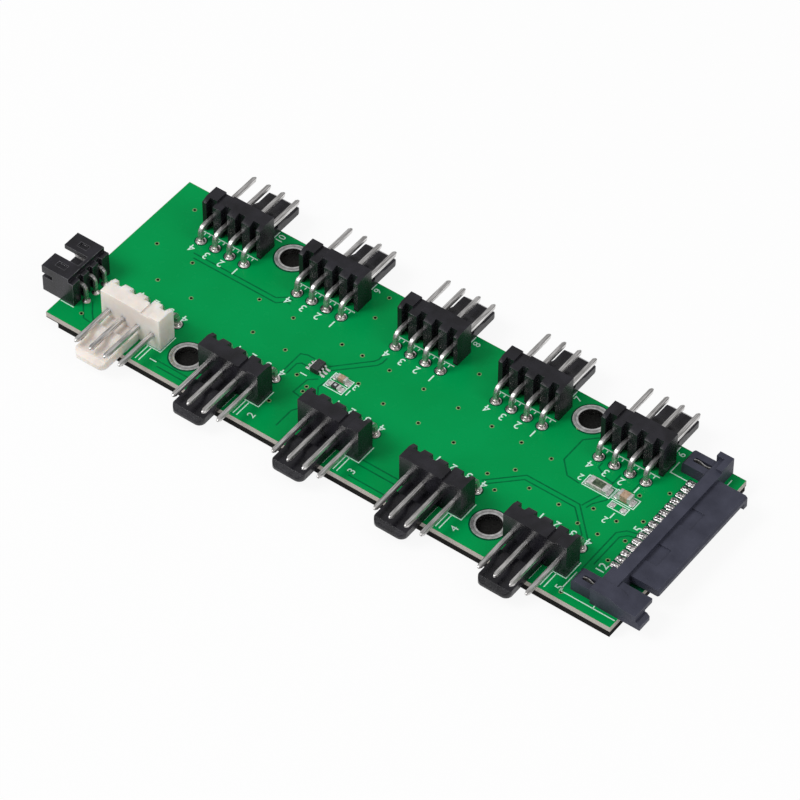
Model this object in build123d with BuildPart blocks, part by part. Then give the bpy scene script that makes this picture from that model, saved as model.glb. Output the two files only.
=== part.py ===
import os

from build123d import *

# Computer fan hub: a bare circuit board on a foam pad, with ten right-angle
# fan headers in two rows, a small three-pin header at one end and a
# fifteen-contact power plug at the other. Millimetres, +Z up.
# The origin is on the underside of the pad, below the middle of the four
# mounting holes. +X runs to the power plug, +Y to the far row of headers.

# Foam pad and circuit board
pad_thickness = 1.0
pad_edge_inset = 0.1
pad_end_inset = 2.0
board_thickness = 1.0
board_length = 94.6
board_width = 31.8
board_centre_x = 1.0
board_bottom = pad_thickness
board_top = board_bottom + board_thickness

# Mounting holes, plated from the upper face down through the board
hole_spacing_x = 50.8
hole_far_margin = 3.25
hole_near_margin = 5.05
hole_radius = 1.82
plating_wall = 0.06
plating_ring_radius = 2.58
plating_ring_height = 0.06

# Fan headers: four square pins bent through the board. Each row is placed
# from its own long edge of the board
fan_headers_per_row = 5
fan_header_pitch = 16.95
fan_far_row_margin = 8.25
fan_near_row_margin = 8.9
fan_near_row_shift = -0.25
fan_pin_count = 4
fan_pin_pitch = 2.54
fan_pin_width = 0.64
fan_pin_height = 2.46
fan_pin_bend = 1.0
fan_pin_reach = 12.6
fan_pin_tip = 0.5
pin_tip_narrowing = 0.18
pin_bend_turns = (0, 30, 60, 90)
pin_hole_sides = 8
pin_hole_clearance = 0.05
pin_fit = 0.02

# Moulding of a fan header, measured from its row of pin holes
fan_body_back = 2.1
fan_slab_back = 3.1
fan_body_front = 5.3
fan_body_height = 5.7
fan_rear_drop = 0.4
fan_notch_width = 1.15
fan_groove_depth = 0.35
fan_tongue_width = 5.3
fan_tongue_end = 13.1
fan_tongue_thickness = 1.1
ivory_tongue_thickness = 1.4
ivory_header_number = 6
fan_tongue_corner = 1.0
fan_tongue_bevel = 0.65
fan_ramp_start = 7.6
fan_ramp_flat = 1.3
fan_ramp_slope = 1.1
fan_ramp_height = 0.5

# Solder around the pins
solder_taper = 40
solder_sides = 8
fan_solder_height = 0.45
fan_solder_margin = 0.55
small_solder_height = 0.3
small_solder_margin = 0.35

# Three-pin header that overhangs the left end of the board
small_pin_count = 3
small_pin_pitch = 2.0
small_pin_width = 0.5
small_pin_height = 2.75
small_pin_bend = 0.7
small_pin_reach = 5.2
small_pin_tip = 0.3
small_feet_x = -43.2
small_near_margin = 7.05
small_body_width = 7.9
small_body_height = 4.8
small_body_back = 0.65
small_body_front = 6.15
small_block_depth = 0.8
small_block_height = 4.1
small_rear_wall = 1.5
small_side_wall = 0.7
small_floor = 0.8
small_roof = 0.75
small_notch_width = 0.8
small_notch_depth = 0.6
small_slot_width = 2.0
small_slot_end = 2.0
small_side_slot_bottom = 2.75
small_side_slot_height = 0.7
small_side_slot_depth = 1.8
small_recess_width = 0.9
small_recess_length = 1.6
small_recess_depth = 0.3
small_recess_place = 2.35
small_recess_start = 3.0

# Power plug: a blade with an L-shaped end, standing out of a long base
plug_front_x = 46.15
plug_base_depth = 1.75
plug_base_height = 2.5
plug_post_height = 3.0
plug_near_margin = 1.85
plug_post_depth = 2.2
plug_post_width = 0.9
plug_rib_depth = 0.95
plug_rib_length = 2.95
plug_ear_start_x = 40.4
plug_ear_height = 1.95
plug_ear_bevel = 0.35
plug_far_ear_inset = 2.45
plug_far_ear_width = 2.9
plug_near_ear_inset = 1.8
plug_near_ear_width = 2.7
plug_block_depth = 2.4
plug_block_width = 5.3
blade_length = 4.7
blade_width = 20.57
blade_thickness = 1.23
blade_top = 2.0
blade_far_inset = 3.75
blade_lead_in = 0.3
blade_key_width = 0.8
blade_key_gap = 0.05
pocket_depth = 0.2
pocket_length = 2.0
pocket_width = 3.4
pocket_offsets = (2.5, -5.25)
arm_width = 3.9
arm_height = 2.3
arm_plate_thickness = 0.8
arm_length = 4.75
arm_wall_width = 2.3
arm_toe_length = 0.75
arm_toe_height = 1.2
arm_toe_bevel = 0.45
arm_shoulder_length = 0.65
arm_shoulder_slope = 1.6
contact_count = 15
contact_pitch = 1.27
contact_offset = 0.25
contact_width = 0.5
contact_thickness = 0.2
contact_end_gap = 0.45
lead_foot_start = 1.45
lead_foot_length = 0.65
lead_rise_length = 0.4
peg_radius = 0.6
peg_clearance = 0.05
peg_inset = 1.5
clip_thickness = 0.25
clip_length = 2.6
clip_slot_width = 0.8
clip_slot_end = 0.3

# Small surface-mounted parts, with their places on the board
chip_x = -9.72
chip_y = -3.0
chip_width = 1.3
chip_length = 2.1
chip_height = 1.0
chip_draft = 8
chip_standoff = 0.08
chip_lead_pitch = 0.65
chip_lead_width = 0.26
chip_lead_thickness = 0.14
chip_lead_foot = 0.4
chip_lead_span = 2.4

# Two-ended parts: place in x and y, length, width, height and end cap length
two_ended = {
    "small_capacitor": (-5.8, -2.72, 1.6, 0.85, 0.75, 0.35),
    "resistor": (-5.85, -4.2, 1.6, 0.85, 0.45, 0.35),
    "fuse": (33.15, 2.4, 3.2, 1.6, 0.6, 0.7),
    "large_capacitor": (37.3, 2.6, 2.0, 1.25, 1.1, 0.45),
}

os.makedirs("parts", exist_ok=True)


def finish(shape, name):
    """Label one finished piece and write it out."""
    shape.label = name
    export_step(shape, f"parts/{name}.step")


# Edges of the board, from the middle of the mounting holes outwards
hole_spacing_y = board_width - hole_far_margin - hole_near_margin
board_far_y = hole_spacing_y / 2 + hole_far_margin
board_near_y = board_far_y - board_width
board_centre_y = (board_far_y + board_near_y) / 2
board_left_x = board_centre_x - board_length / 2
board_right_x = board_centre_x + board_length / 2

# Each header has a plane on the board: local x along its pins, local y
# towards the side that a cable plug comes from.
fan_far_row_y = board_far_y - fan_far_row_margin
fan_near_row_y = board_near_y + fan_near_row_margin
small_centre_y = board_near_y + small_near_margin
fan_span = fan_header_pitch * (fan_headers_per_row - 1)
fan_xs = [i * fan_header_pitch - fan_span / 2 for i in range(fan_headers_per_row)]
far_planes = [
    Plane(origin=(x, fan_far_row_y, board_top), x_dir=(1, 0, 0)) for x in fan_xs
]
near_planes = [
    Plane(origin=(x + fan_near_row_shift, fan_near_row_y, board_top), x_dir=(-1, 0, 0))
    for x in fan_xs
]
fan_planes = far_planes + near_planes
board_level = Plane.XY.offset(board_top)
small_plane = Plane(origin=(small_feet_x, small_centre_y, board_top), x_dir=(0, 1, 0))


def side_plane(base):
    """Plane with x towards the mating side, y up and its normal along the pins."""
    return Plane(origin=base.origin, x_dir=base.y_dir, z_dir=base.x_dir)


def front_plane(base, distance):
    """Plane square to the mating direction, that far from the pin holes, with y up."""
    place = base.origin + base.y_dir * distance
    return Plane(origin=place, x_dir=-base.x_dir, z_dir=base.y_dir)


# Foam pad: stuck under the board, short of its left end
pad_left_x = board_left_x + pad_end_inset
pad_right_x = board_right_x - pad_edge_inset
with BuildPart() as foam_pad:
    with BuildSketch(Plane.XY):
        with Locations(((pad_left_x + pad_right_x) / 2, board_centre_y)):
            Rectangle(pad_right_x - pad_left_x, board_width - 2 * pad_edge_inset)
    extrude(amount=pad_thickness)
finish(foam_pad.part, "foam_pad")

# Circuit board: drilled for the mounting holes, the pins and the plug's pegs.
# A pin's hole clears its corners, and is drawn with flats under the solder
fan_pin_hole = fan_pin_width / 2 * 2**0.5 + pin_hole_clearance
small_pin_hole = small_pin_width / 2 * 2**0.5 + pin_hole_clearance
plug_far_y = board_far_y
plug_near_y = board_near_y + plug_near_margin
peg_x = plug_front_x - plug_base_depth / 2
peg_places = [(peg_x, plug_far_y - peg_inset), (peg_x, plug_near_y + peg_inset)]
with BuildPart() as circuit_board:
    with BuildSketch(Plane.XY.offset(board_bottom)):
        with Locations((board_centre_x, board_centre_y)):
            Rectangle(board_length, board_width)
        with GridLocations(hole_spacing_x, hole_spacing_y, 2, 2):
            Circle(hole_radius + plating_wall, mode=Mode.SUBTRACT)
        with Locations((0, fan_far_row_y), (fan_near_row_shift, fan_near_row_y)):
            with GridLocations(fan_header_pitch, 0, fan_headers_per_row, 1):
                with GridLocations(fan_pin_pitch, 0, fan_pin_count, 1):
                    RegularPolygon(fan_pin_hole, pin_hole_sides, mode=Mode.SUBTRACT)
        with Locations((small_feet_x, small_centre_y)):
            with GridLocations(0, small_pin_pitch, 1, small_pin_count):
                RegularPolygon(small_pin_hole, pin_hole_sides, mode=Mode.SUBTRACT)
        with Locations(*peg_places):
            Circle(peg_radius + peg_clearance, mode=Mode.SUBTRACT)
    extrude(amount=board_thickness)
finish(circuit_board.part, "circuit_board")

# Plating of the mounting holes: a sleeve through the board with a ring on top
with BuildPart() as hole_plating:
    with BuildSketch(Plane.XY.offset(board_bottom)):
        with GridLocations(hole_spacing_x, hole_spacing_y, 2, 2):
            Circle(hole_radius + plating_wall)
            Circle(hole_radius, mode=Mode.SUBTRACT)
    extrude(amount=board_thickness)
    with BuildSketch(Plane.XY.offset(board_top)):
        with GridLocations(hole_spacing_x, hole_spacing_y, 2, 2):
            Circle(plating_ring_radius)
            Circle(hole_radius, mode=Mode.SUBTRACT)
    extrude(amount=plating_ring_height)
finish(hole_plating.part, "mounting_hole_plating")


def bent_pins(base, count, pitch, width, height, bend, reach, tip):
    """Square pins that rise through the board, bend and run level to pointed tips."""
    arms = [Vector(bend, 0).rotate(Axis.Z, -turn) for turn in pin_bend_turns]
    bend_points = [(bend - arm.X, height - bend - arm.Y) for arm in arms]
    with BuildPart() as pin:
        with BuildLine(side_plane(base)):
            Polyline((0, -board_thickness), *bend_points, (reach, height))
        with BuildSketch(base.offset(-board_thickness)):
            Rectangle(width, width)
        sweep(transition=Transition.RIGHT)
        end = pin.faces().sort_by(Axis(base.origin, base.y_dir))[-1]
        chamfer(end.edges(), length=pin_tip_narrowing, length2=tip, reference=end)
    with BuildPart() as pins:
        for i in range(count):
            along = (i - (count - 1) / 2) * pitch
            add(pin.part.moved(Location(base.x_dir * along)))
    return pins.part


def fan_housing(base, tongue_thickness):
    """Upright slab with rear posts between the pins, and a long locking tongue."""
    side = side_plane(base)
    body_length = fan_pin_count * fan_pin_pitch
    ramp_top = tongue_thickness + fan_ramp_height
    ramp_end = fan_ramp_start + fan_ramp_flat
    with BuildPart() as housing:
        # Slab and posts in one section: behind the slab the top slopes down
        with BuildSketch(side):
            with BuildLine():
                Polyline(
                    (fan_body_back, 0),
                    (fan_body_front, 0),
                    (fan_body_front, fan_body_height),
                    (fan_slab_back, fan_body_height),
                    (fan_body_back, fan_body_height - fan_rear_drop),
                    close=True,
                )
            make_face()
        extrude(amount=body_length / 2, both=True)
        # Notches that the pins rise in
        notch_depth = fan_slab_back - fan_body_back
        with BuildSketch(base):
            with Locations((0, fan_body_back)):
                with GridLocations(fan_pin_pitch, 0, fan_pin_count, 1):
                    Rectangle(
                        fan_notch_width, notch_depth, align=(Align.CENTER, Align.MIN)
                    )
        extrude(amount=fan_body_height, mode=Mode.SUBTRACT)
        # Square passages for the pins through the slab
        with BuildSketch(front_plane(base, fan_slab_back)):
            with Locations((0, fan_pin_height)):
                with GridLocations(fan_pin_pitch, 0, fan_pin_count, 1):
                    Rectangle(fan_pin_width + 2 * pin_fit, fan_pin_width + 2 * pin_fit)
        extrude(amount=fan_body_front - fan_slab_back, mode=Mode.SUBTRACT)
        # Shallow groove over the top, as wide as the first post that it runs over
        with BuildSketch(base.offset(fan_body_height)):
            with Locations((-fan_pin_pitch, fan_body_front)):
                Rectangle(
                    fan_pin_pitch - fan_notch_width,
                    fan_body_front - fan_body_back,
                    align=(Align.CENTER, Align.MAX),
                )
        extrude(amount=-fan_groove_depth, mode=Mode.SUBTRACT)
        # Tongue with its ramp, in line with the third pin
        with BuildSketch(side.offset(fan_pin_pitch / 2)):
            with BuildLine():
                Polyline(
                    (fan_body_front, 0),
                    (fan_tongue_end, 0),
                    (fan_tongue_end, tongue_thickness - fan_tongue_bevel),
                    (fan_tongue_end - fan_tongue_bevel, tongue_thickness),
                    (ramp_end + fan_ramp_slope, tongue_thickness),
                    (ramp_end, ramp_top),
                    (fan_ramp_start, ramp_top),
                    (fan_ramp_start, tongue_thickness),
                    (fan_body_front, tongue_thickness),
                    close=True,
                )
            make_face()
        extrude(amount=fan_tongue_width / 2, both=True)
        tip_face = housing.faces().sort_by(Axis(base.origin, base.y_dir))[-1]
        fillet(tip_face.edges().filter_by(Axis.Z), radius=fan_tongue_corner)
    return housing.part


# Ten fan headers: one to five along the far edge, six to ten along the near one
for i, base in enumerate(fan_planes):
    number = i + 1
    tongue = fan_tongue_thickness
    if number == ivory_header_number:
        tongue = ivory_tongue_thickness
    finish(fan_housing(base, tongue), f"fan_header_{number}_housing")
    finish(
        bent_pins(
            base,
            fan_pin_count,
            fan_pin_pitch,
            fan_pin_width,
            fan_pin_height,
            fan_pin_bend,
            fan_pin_reach,
            fan_pin_tip,
        ),
        f"fan_header_{number}_pins",
    )

# Solder joints: small cones of solder on the board around each pin
with BuildPart() as fan_solder:
    with BuildSketch(*fan_planes):
        with GridLocations(fan_pin_pitch, 0, fan_pin_count, 1):
            RegularPolygon(fan_pin_width / 2 + fan_solder_margin, solder_sides)
    extrude(amount=fan_solder_height, taper=solder_taper)
    with BuildSketch(*fan_planes):
        with GridLocations(fan_pin_pitch, 0, fan_pin_count, 1):
            Rectangle(fan_pin_width, fan_pin_width)
    extrude(amount=fan_solder_height, mode=Mode.SUBTRACT)
finish(fan_solder.part, "fan_header_solder")

with BuildPart() as small_solder:
    with BuildSketch(small_plane):
        with GridLocations(small_pin_pitch, 0, small_pin_count, 1):
            RegularPolygon(small_pin_width / 2 + small_solder_margin, solder_sides)
    extrude(amount=small_solder_height, taper=solder_taper)
    with BuildSketch(small_plane):
        with GridLocations(small_pin_pitch, 0, small_pin_count, 1):
            Rectangle(small_pin_width, small_pin_width)
    extrude(amount=small_solder_height, mode=Mode.SUBTRACT)
finish(small_solder.part, "small_header_solder")

# Small header: a shrouded box open towards the left, with a slotted roof
small_mouth_depth = small_body_front - small_body_back - small_rear_wall
small_roof_start = small_body_back + small_block_depth
small_cavity_height = small_body_height - small_floor - small_roof
with BuildPart() as small_housing:
    with BuildSketch(side_plane(small_plane)):
        with BuildLine():
            Polyline(
                (small_body_back, 0),
                (small_body_front, 0),
                (small_body_front, small_body_height),
                (small_roof_start, small_body_height),
                (small_roof_start, small_block_height),
                (small_body_back, small_block_height),
                close=True,
            )
        make_face()
    extrude(amount=small_body_width / 2, both=True)
    # Hollow that the cable plug enters
    with BuildSketch(front_plane(small_plane, small_body_front)):
        with Locations((0, small_floor)):
            Rectangle(
                small_body_width - 2 * small_side_wall,
                small_cavity_height,
                align=(Align.CENTER, Align.MIN),
            )
    extrude(amount=-small_mouth_depth, mode=Mode.SUBTRACT)
    # Slot in the roof and a pocket in each of its wings
    with BuildSketch(small_plane.offset(small_body_height)):
        with Locations((0, small_body_front)):
            Rectangle(
                small_slot_width,
                small_body_front - small_slot_end,
                align=(Align.CENTER, Align.MAX),
            )
    extrude(amount=-small_roof, mode=Mode.SUBTRACT)
    with BuildSketch(small_plane.offset(small_body_height)):
        with Locations(*[(way * small_recess_place, small_recess_start) for way in (-1, 1)]):
            Rectangle(
                small_recess_width,
                small_recess_length,
                align=(Align.CENTER, Align.MIN),
            )
    extrude(amount=-small_recess_depth, mode=Mode.SUBTRACT)
    # Slots through both side walls at the mouth
    with BuildSketch(side_plane(small_plane)):
        with Locations((small_body_front, small_side_slot_bottom)):
            Rectangle(
                small_side_slot_depth,
                small_side_slot_height,
                align=(Align.MAX, Align.MIN),
            )
    extrude(amount=small_body_width / 2, both=True, mode=Mode.SUBTRACT)
    # Notches at the back that the pins rise in
    with BuildSketch(small_plane):
        with Locations((0, small_body_back)):
            with GridLocations(small_pin_pitch, 0, small_pin_count, 1):
                Rectangle(
                    small_notch_width,
                    small_notch_depth,
                    align=(Align.CENTER, Align.MIN),
                )
    extrude(amount=small_block_height, mode=Mode.SUBTRACT)
    # Square passages for the pins through the rear wall
    with BuildSketch(front_plane(small_plane, small_body_back)):
        with Locations((0, small_pin_height)):
            with GridLocations(small_pin_pitch, 0, small_pin_count, 1):
                Rectangle(small_pin_width + 2 * pin_fit, small_pin_width + 2 * pin_fit)
    extrude(amount=small_rear_wall, mode=Mode.SUBTRACT)
finish(small_housing.part, "small_header_housing")

finish(
    bent_pins(
        small_plane,
        small_pin_count,
        small_pin_pitch,
        small_pin_width,
        small_pin_height,
        small_pin_bend,
        small_pin_reach,
        small_pin_tip,
    ),
    "small_header_pins",
)

# Power plug moulding
plug_back_x = plug_front_x - plug_base_depth
block_back_x = plug_front_x - plug_block_depth
far_ear_y = plug_far_y - plug_far_ear_inset
near_ear_y = plug_near_y + plug_near_ear_inset
blade_end_x = plug_front_x + blade_length
blade_bottom = blade_top - blade_thickness
blade_far_y = plug_far_y - blade_far_inset
blade_centre_y = blade_far_y - blade_width / 2
arm_end_x = plug_front_x + arm_length
contact_span = (contact_count - 1) * contact_pitch
first_contact_y = blade_centre_y + contact_offset - contact_span / 2
contact_ys = [first_contact_y + i * contact_pitch for i in range(contact_count)]
contact_bottom = blade_bottom - contact_thickness
corner = (Align.MAX, Align.MAX)
with BuildPart() as plug:
    # Base along the board's end, with the deeper block at its near end
    with BuildSketch(board_level):
        with Locations((plug_front_x, plug_far_y)):
            Rectangle(plug_base_depth, plug_far_y - plug_near_y, align=corner)
        with Locations((plug_front_x, plug_near_y)):
            Rectangle(plug_block_depth, plug_block_width, align=(Align.MAX, Align.MIN))
    extrude(amount=plug_base_height)
    # Post and rib that stand up at the far end
    with BuildSketch(board_level):
        with Locations((plug_front_x, plug_far_y)):
            Rectangle(plug_post_depth, plug_post_width, align=corner)
            Rectangle(plug_rib_depth, plug_rib_length, align=corner)
    extrude(amount=plug_post_height)
    # Ears that carry the pegs and clips
    ear_length = plug_back_x - plug_ear_start_x
    with BuildSketch(board_level):
        with Locations((plug_back_x, far_ear_y)):
            Rectangle(ear_length, plug_far_ear_width, align=(Align.MAX, Align.CENTER))
        with Locations((plug_back_x, near_ear_y)):
            Rectangle(ear_length, plug_near_ear_width, align=(Align.MAX, Align.CENTER))
    extrude(amount=plug_ear_height)
    ear_ends = plug.faces().filter_by(Axis.X).group_by(Axis.X)[0]
    chamfer(ear_ends.edges().group_by(Axis.Z)[-1], length=plug_ear_bevel)
    # Blade with its lead-in, and the leg of the L under its far end
    with BuildSketch(Plane.XZ.offset(-blade_far_y)):
        with BuildLine():
            Polyline(
                (plug_front_x, board_top + blade_bottom),
                (blade_end_x - blade_lead_in, board_top + blade_bottom),
                (blade_end_x, board_top + blade_bottom + blade_lead_in),
                (blade_end_x, board_top + blade_top - blade_lead_in),
                (blade_end_x - blade_lead_in, board_top + blade_top),
                (plug_front_x, board_top + blade_top),
                close=True,
            )
        make_face()
    extrude(amount=blade_width)
    with BuildSketch(Plane.XY.offset(board_top + blade_key_gap)):
        with Locations((plug_front_x, blade_far_y)):
            Rectangle(blade_length, blade_key_width, align=(Align.MIN, Align.MAX))
    extrude(amount=blade_bottom + blade_lead_in - blade_key_gap)
    # Shallow pockets on top of the blade
    with BuildSketch(Plane.XY.offset(board_top + blade_top)):
        with Locations(*[(plug_front_x, blade_centre_y + y) for y in pocket_offsets]):
            Rectangle(pocket_length, pocket_width, align=(Align.MIN, Align.CENTER))
    extrude(amount=-pocket_depth, mode=Mode.SUBTRACT)
    # Guide arm beside the blade: a plate on top of an outer wall with a toe
    with BuildSketch(Plane.XY.offset(board_top + arm_height)):
        with Locations((plug_front_x, plug_near_y)):
            Rectangle(arm_length, arm_width, align=(Align.MIN, Align.MIN))
    extrude(amount=-arm_plate_thickness)
    with BuildSketch(Plane.XZ.offset(-plug_near_y)):
        with BuildLine():
            Polyline(
                (plug_front_x, board_top),
                (arm_end_x + arm_toe_length, board_top),
                (arm_end_x + arm_toe_length, board_top + arm_toe_height - arm_toe_bevel),
                (arm_end_x + arm_toe_length - arm_toe_bevel, board_top + arm_toe_height),
                (arm_end_x, board_top + arm_toe_height),
                (arm_end_x, board_top + arm_height),
                (plug_front_x + arm_shoulder_length + arm_shoulder_slope, board_top + arm_height),
                (plug_front_x + arm_shoulder_length, board_top + plug_post_height),
                (block_back_x, board_top + plug_post_height),
                (block_back_x, board_top),
                close=True,
            )
        make_face()
    extrude(amount=-arm_wall_width)
    # Slots in the ears for the metal clips
    clip_x = plug_back_x - clip_slot_end
    with BuildSketch(board_level):
        with Locations((clip_x, far_ear_y), (clip_x, near_ear_y)):
            Rectangle(clip_length + 2 * pin_fit, clip_slot_width, align=(Align.MAX, Align.CENTER))
    extrude(amount=plug_ear_height, mode=Mode.SUBTRACT)
    # Passages for the contacts through the base and its block
    with BuildSketch(Plane.YZ.offset(block_back_x)):
        with Locations(*[(y, board_top + contact_bottom) for y in contact_ys]):
            Rectangle(
                contact_width + 2 * pin_fit,
                contact_thickness,
                align=(Align.CENTER, Align.MIN),
            )
    extrude(amount=plug_block_depth, mode=Mode.SUBTRACT)
    # Locating pegs in the board, flush with its underside
    with BuildSketch(board_level):
        with Locations(*peg_places):
            Circle(peg_radius)
    extrude(amount=-board_thickness)
finish(plug.part, "power_plug_housing")

# Power contacts: flat strips under the blade that end as soldered feet
foot_end_x = plug_back_x - lead_foot_start + lead_foot_length
rise_end_x = foot_end_x + lead_rise_length
contact_end_x = blade_end_x - contact_end_gap
with BuildPart() as contacts:
    with BuildSketch(*[Plane.XZ.offset(-y - contact_width / 2) for y in contact_ys]):
        with BuildLine():
            Polyline(
                (plug_back_x - lead_foot_start, board_top),
                (foot_end_x, board_top),
                (rise_end_x, board_top + contact_bottom),
                (contact_end_x, board_top + contact_bottom),
                (contact_end_x, board_top + blade_bottom),
                (rise_end_x - contact_thickness, board_top + blade_bottom),
                (foot_end_x - contact_thickness, board_top + contact_thickness),
                (plug_back_x - lead_foot_start, board_top + contact_thickness),
                close=True,
            )
        make_face()
    extrude(amount=contact_width)
finish(contacts.part, "power_plug_contacts")

# Metal clips that stand in the ears and are soldered to the board
with BuildPart() as clips:
    with BuildSketch(board_level):
        with Locations(
            (clip_x - pin_fit, far_ear_y), (clip_x - pin_fit, near_ear_y)
        ):
            Rectangle(clip_length, clip_thickness, align=(Align.MAX, Align.CENTER))
    extrude(amount=plug_ear_height)
finish(clips.part, "power_plug_clips")

# Six-leg chip: a moulded body drafted from its middle, with bent legs
chip_level = board_top + chip_standoff
chip_middle = (chip_height - chip_standoff) / 2
leg_middle = chip_level + chip_middle
with BuildPart() as chip:
    with BuildSketch(Plane.XY.offset(leg_middle)):
        with Locations((chip_x, chip_y)):
            Rectangle(chip_width, chip_length)
    extrude(amount=chip_middle, taper=chip_draft)
    with BuildSketch(Plane.XY.offset(leg_middle)):
        with Locations((chip_x, chip_y)):
            Rectangle(chip_width, chip_length)
    extrude(amount=-chip_middle, taper=chip_draft)
finish(chip.part, "chip_body")

leg_ys = [chip_y - chip_lead_pitch, chip_y, chip_y + chip_lead_pitch]
leg_top = leg_middle + chip_lead_thickness / 2
leg_reach = (chip_lead_span - chip_width) / 2
leg_bend = leg_reach - chip_lead_foot
with BuildPart() as chip_legs:
    with BuildSketch(*[Plane.XZ.offset(-y - chip_lead_width / 2) for y in leg_ys]):
        for way in (-1, 1):
            root = chip_x + way * chip_width / 2
            with BuildLine():
                Polyline(
                    (root, leg_top),
                    (root + way * (leg_bend + chip_lead_thickness), leg_top),
                    (
                        root + way * (leg_bend + chip_lead_thickness),
                        board_top + chip_lead_thickness,
                    ),
                    (root + way * leg_reach, board_top + chip_lead_thickness),
                    (root + way * leg_reach, board_top),
                    (root + way * leg_bend, board_top),
                    (root + way * leg_bend, leg_top - chip_lead_thickness),
                    (root, leg_top - chip_lead_thickness),
                    close=True,
                )
            make_face()
    extrude(amount=chip_lead_width)
finish(chip_legs.part, "chip_legs")

# Two-ended parts lie along the board: a body between two metal end caps
for name, (x, y, length, width, height, cap_length) in two_ended.items():
    with BuildPart() as body:
        with BuildSketch(board_level):
            with Locations((x, y)):
                Rectangle(length - 2 * cap_length, width)
        extrude(amount=height)
    finish(body.part, f"{name}_body")

with BuildPart() as end_caps:
    for x, y, length, width, height, cap_length in two_ended.values():
        with BuildSketch(board_level):
            with Locations((x, y)):
                with GridLocations(length - cap_length, 0, 2, 1):
                    Rectangle(cap_length, width)
        extrude(amount=height)
finish(end_caps.part, "end_caps")
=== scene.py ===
import math

import bmesh
import bpy
from mathutils import Matrix, Vector


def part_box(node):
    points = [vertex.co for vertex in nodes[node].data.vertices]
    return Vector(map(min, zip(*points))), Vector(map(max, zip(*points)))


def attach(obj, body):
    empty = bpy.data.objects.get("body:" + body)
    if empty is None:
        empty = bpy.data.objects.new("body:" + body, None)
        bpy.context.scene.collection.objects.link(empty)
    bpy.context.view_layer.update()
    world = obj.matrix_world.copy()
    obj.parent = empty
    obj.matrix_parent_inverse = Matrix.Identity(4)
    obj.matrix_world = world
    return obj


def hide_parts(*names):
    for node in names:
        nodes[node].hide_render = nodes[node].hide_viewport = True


# A computer fan hub: a green circuit board on black foam, with ten right-angle
# fan headers, one small header and a power plug. Everything is in metres, in
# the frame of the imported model, and lengths below are written in millimetres.
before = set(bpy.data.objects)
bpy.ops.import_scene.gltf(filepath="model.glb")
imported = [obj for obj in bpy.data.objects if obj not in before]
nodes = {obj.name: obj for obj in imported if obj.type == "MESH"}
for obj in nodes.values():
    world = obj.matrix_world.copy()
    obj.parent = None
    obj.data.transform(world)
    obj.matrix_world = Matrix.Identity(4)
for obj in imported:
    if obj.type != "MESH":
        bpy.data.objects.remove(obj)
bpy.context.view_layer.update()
mm = 0.001


# Foam pad: a die-cut sheet of black closed-cell foam, stuck under the board.
# Its skin is matt, with fine pores that show as a speckle on the cut edges.
def new_finish(name, colour, roughness, metallic=0.0):
    """A material with its own shader, and the shader."""
    finish = bpy.data.materials.new(name)
    finish.use_nodes = True
    shader = finish.node_tree.nodes["Principled BSDF"]
    shader.inputs["Base Color"].default_value = (*colour, 1)
    shader.inputs["Roughness"].default_value = roughness
    shader.inputs["Metallic"].default_value = metallic
    return finish, shader


def object_place(finish):
    """Where a point is on the piece, in metres."""
    return finish.node_tree.nodes.new("ShaderNodeTexCoord").outputs["Object"]


def noise(finish, size_mm, detail=4, stretch=(1, 1, 1)):
    """Cloudy noise with lumps of about that size."""
    tree = finish.node_tree
    stretcher = tree.nodes.new("ShaderNodeMapping")
    stretcher.inputs["Scale"].default_value = stretch
    tree.links.new(object_place(finish), stretcher.inputs["Vector"])
    cloud = tree.nodes.new("ShaderNodeTexNoise")
    cloud.inputs["Scale"].default_value = 1 / (size_mm * mm)
    cloud.inputs["Detail"].default_value = detail
    tree.links.new(stretcher.outputs["Vector"], cloud.inputs["Vector"])
    return cloud.outputs["Fac"]


def shade_between(finish, value, dark, light, low=0.35, high=0.65):
    """Turns a value into a colour between a dark and a light one."""
    ramp = finish.node_tree.nodes.new("ShaderNodeValToRGB")
    ramp.color_ramp.elements[0].position = low
    ramp.color_ramp.elements[0].color = (*dark, 1)
    ramp.color_ramp.elements[1].position = high
    ramp.color_ramp.elements[1].color = (*light, 1)
    finish.node_tree.links.new(value, ramp.inputs["Fac"])
    return ramp.outputs["Color"]


noise_low, noise_high = 0.3, 0.7


def vary_roughness(finish, shader, value, low, high):
    """Lets the roughness wander between two values."""
    spread = finish.node_tree.nodes.new("ShaderNodeMapRange")
    spread.inputs["From Min"].default_value = noise_low
    spread.inputs["From Max"].default_value = noise_high
    spread.inputs["To Min"].default_value = low
    spread.inputs["To Max"].default_value = high
    finish.node_tree.links.new(value, spread.inputs["Value"])
    finish.node_tree.links.new(spread.outputs["Result"], shader.inputs["Roughness"])


def bump(finish, shader, value, depth_mm, strength=1.0):
    """Raises the surface by up to that depth where the value is high."""
    lift = finish.node_tree.nodes.new("ShaderNodeBump")
    lift.inputs["Strength"].default_value = strength
    lift.inputs["Distance"].default_value = depth_mm * mm
    finish.node_tree.links.new(value, lift.inputs["Height"])
    finish.node_tree.links.new(lift.outputs["Normal"], shader.inputs["Normal"])


def colour(finish, shader, value):
    """Links a colour to the shader."""
    finish.node_tree.links.new(value, shader.inputs["Base Color"])


def dress(node, finish):
    """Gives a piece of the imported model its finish."""
    for place in nodes[node].material_slots:
        place.material = finish
    return nodes[node]


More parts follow.
